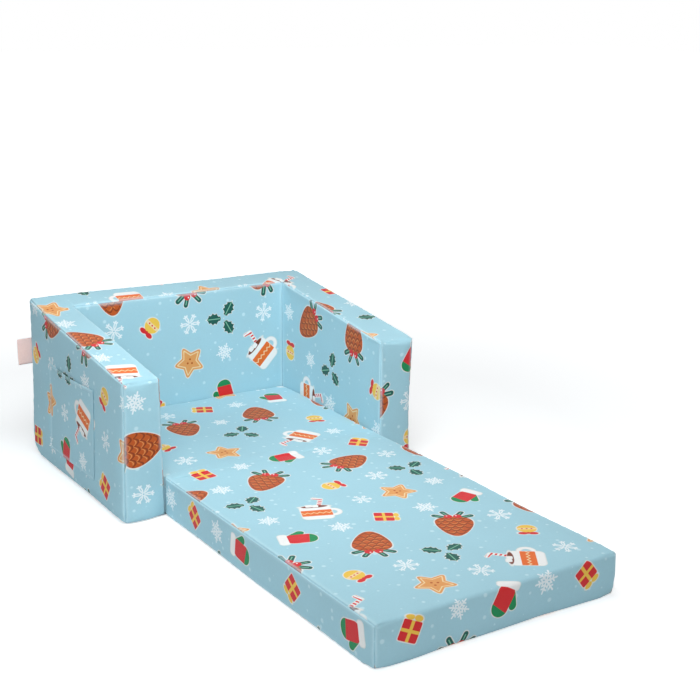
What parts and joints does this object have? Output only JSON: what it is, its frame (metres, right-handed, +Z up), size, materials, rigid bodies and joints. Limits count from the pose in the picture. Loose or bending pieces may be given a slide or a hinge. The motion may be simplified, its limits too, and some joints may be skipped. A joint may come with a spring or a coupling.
{
  "type": "kids flip open sofa",
  "caption": "Children's foam sofa with arms and side pockets; its folded seat and back flip forward into a flat lounger. Printed cloth covers over foam, joined at cloth folds.",
  "frame": {"origin": "on the floor, under the middle of the frame that the arms and back make", "axes": "+X to the right arm as seen from the foot end, +Y to the back, +Z up; drawn open"},
  "size_m": [0.6456, 1.1255, 0.3131],
  "materials": {
    "printed_cloth": "soft brushed polyester, light blue with a winter print",
    "foam": "open-cell polyurethane foam",
    "base_cloth": "plain non-slip base cloth",
    "tag_cloth": "plain woven satin tag",
    "zip_tape": "woven zip tape",
    "zip_teeth": "dyed nylon",
    "zip_metal": "nickel-plated zinc"
  },
  "bodies": {
    "frame": {"left_arm_cover": "printed_cloth", "left_arm_foam": "foam", "right_arm_cover": "printed_cloth", "right_arm_foam": "foam", "left_pocket": "printed_cloth", "left_pocket_binding": "printed_cloth", "right_pocket": "printed_cloth", "right_pocket_binding": "printed_cloth", "back_cover": "printed_cloth", "back_foam": "foam", "seat_base_cover": "printed_cloth", "seat_base_foam": "foam", "front_hinge_strip": "printed_cloth", "rear_zip_tape": "zip_tape", "rear_zip_teeth": "zip_teeth", "rear_zip_stops": "zip_metal", "side_tag": "tag_cloth", "base_cloth": "base_cloth"},
    "flip_seat": {"flip_seat_cover": "printed_cloth", "flip_seat_foam": "foam", "fold_wedge": "foam", "rear_hinge_strip": "printed_cloth"},
    "back_section": {"back_section_cover": "printed_cloth", "back_section_foam": "foam"},
    "zip_slider": {"rear_zip_slider": "zip_metal"},
    "zip_pull": {"rear_zip_pull": "zip_metal"}
  },
  "joints": [
    {"name": "seat_flip", "type": "hinge", "parent": "frame", "child": "flip_seat", "pos_m": [0, -0.222, 0.07465], "axis": [-1, 0, 0], "range_deg": [0, 180], "deforming": ["front_hinge_strip"]},
    {"name": "back_fold", "type": "hinge", "parent": "flip_seat", "child": "back_section", "pos_m": [0, -0.559, 0.07465], "axis": [1, 0, 0], "range_deg": [0, 80], "deforming": ["fold_wedge", "rear_hinge_strip"]},
    {"name": "zip_slide", "type": "slide", "parent": "frame", "child": "zip_slider", "axis": [-1, 0, 0], "range_m": [0, 0.346]},
    {"name": "pull_swing", "type": "hinge", "parent": "zip_slider", "child": "zip_pull", "pos_m": [0.173, 0.2273, 0.055], "axis": [0, 0, -1], "range_deg": [0, 170]}
  ],
  "couplings": [
    {"joint": "back_fold", "follows": "seat_flip", "ratio": 0.44444}
  ]
}
